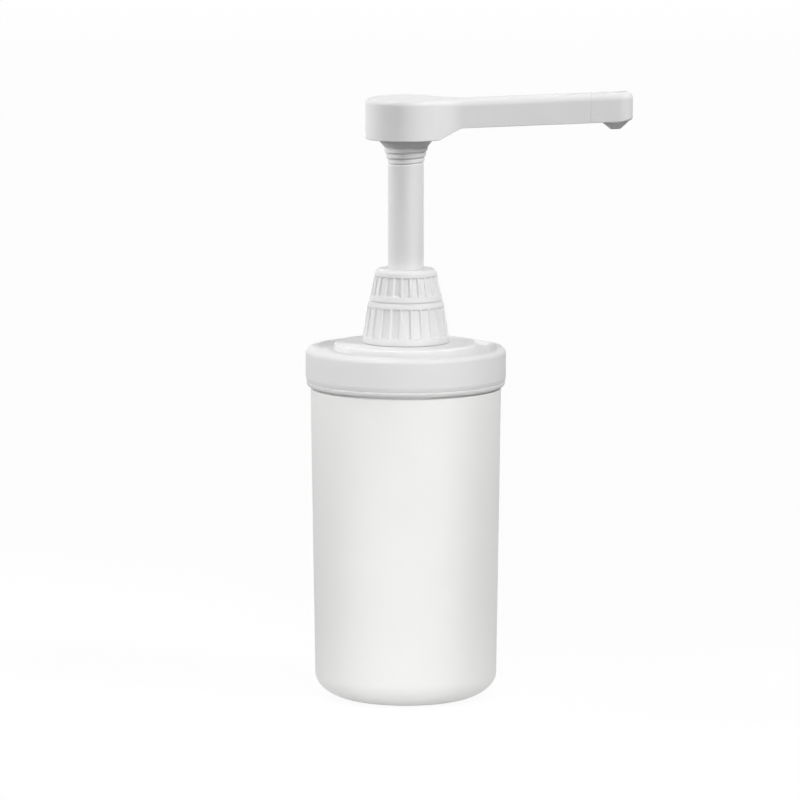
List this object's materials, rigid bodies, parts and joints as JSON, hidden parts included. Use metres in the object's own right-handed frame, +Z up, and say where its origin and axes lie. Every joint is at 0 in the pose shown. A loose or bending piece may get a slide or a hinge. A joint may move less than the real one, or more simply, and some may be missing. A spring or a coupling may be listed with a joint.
{
  "type": "syrup pump dispenser",
  "caption": "Straight-sided white jar with a screw lid and a hand pump: pressing the round head drives a sprung piston that sends syrup up the stem and out of the side spout.",
  "frame": {"origin": "on the jar's axis, on the plane that the jar stands on", "axes": "+Z up along the jar and the stem, +X along the spout"},
  "size_m": [0.1859, 0.114, 0.3476],
  "materials": {
    "jar_plastic": "satin white polyethylene",
    "lid_plastic": "satin white polypropylene",
    "pump_plastic": "smooth moulded white",
    "inner_plastic": "natural polypropylene",
    "tube_plastic": "natural polyethylene",
    "liner_foam": "closed foam",
    "seal_rubber": "smooth",
    "steel": "drawn stainless"
  },
  "bodies": {
    "jar": {"jar": "jar_plastic"},
    "liner": {"lid_liner": "liner_foam"},
    "lid": {"lid": "lid_plastic", "flange_gasket": "seal_rubber", "pump_cylinder": "inner_plastic", "closure_nut": "pump_plastic", "gland_cap": "pump_plastic", "guide_bush": "inner_plastic", "wiper_seal": "seal_rubber", "foot_valve": "inner_plastic", "ball_cage": "inner_plastic", "dip_tube": "tube_plastic", "return_spring": "steel"},
    "inlet_ball": {"inlet_ball": "steel"},
    "piston": {"piston": "inner_plastic", "piston_seal": "seal_rubber"},
    "discharge_ball": {"discharge_ball": "steel"},
    "plunger": {"stem": "pump_plastic", "valve_stop": "inner_plastic", "stem_seal": "seal_rubber", "spout_head": "pump_plastic", "head_cap": "pump_plastic", "spout_end": "pump_plastic", "end_seal": "seal_rubber", "nozzle": "pump_plastic"}
  },
  "joints": [
    {"name": "lid_lift", "type": "slide", "parent": "jar", "child": "liner", "axis": [0, 0, 1], "range_m": [0, 0.00635]},
    {"name": "lid_turn", "type": "hinge", "parent": "liner", "child": "lid", "pos_m": [0, 0, 0.2], "axis": [0, 0, 1], "range_deg": [0, 450]},
    {"name": "plunger_stroke", "type": "slide", "parent": "lid", "child": "piston", "axis": [0, 0, 1], "range_m": [-0.056, 0], "stiffness_N_per_m": 180, "springref_m": 0.035, "deforming": ["return_spring"]},
    {"name": "spout_swivel", "type": "hinge", "parent": "piston", "child": "plunger", "pos_m": [0, 0, 0.32], "axis": [0, 0, 1], "continuous": true},
    {"name": "inlet_ball_lift", "type": "slide", "parent": "lid", "child": "inlet_ball", "axis": [0, 0, 1], "range_m": [0, 0.003]},
    {"name": "discharge_ball_lift", "type": "slide", "parent": "piston", "child": "discharge_ball", "axis": [0, 0, 1], "range_m": [0, 0.003]}
  ],
  "couplings": [
    {"joint": "lid_lift", "follows": "lid_turn", "m_per_rad": 0.00080851}
  ]
}
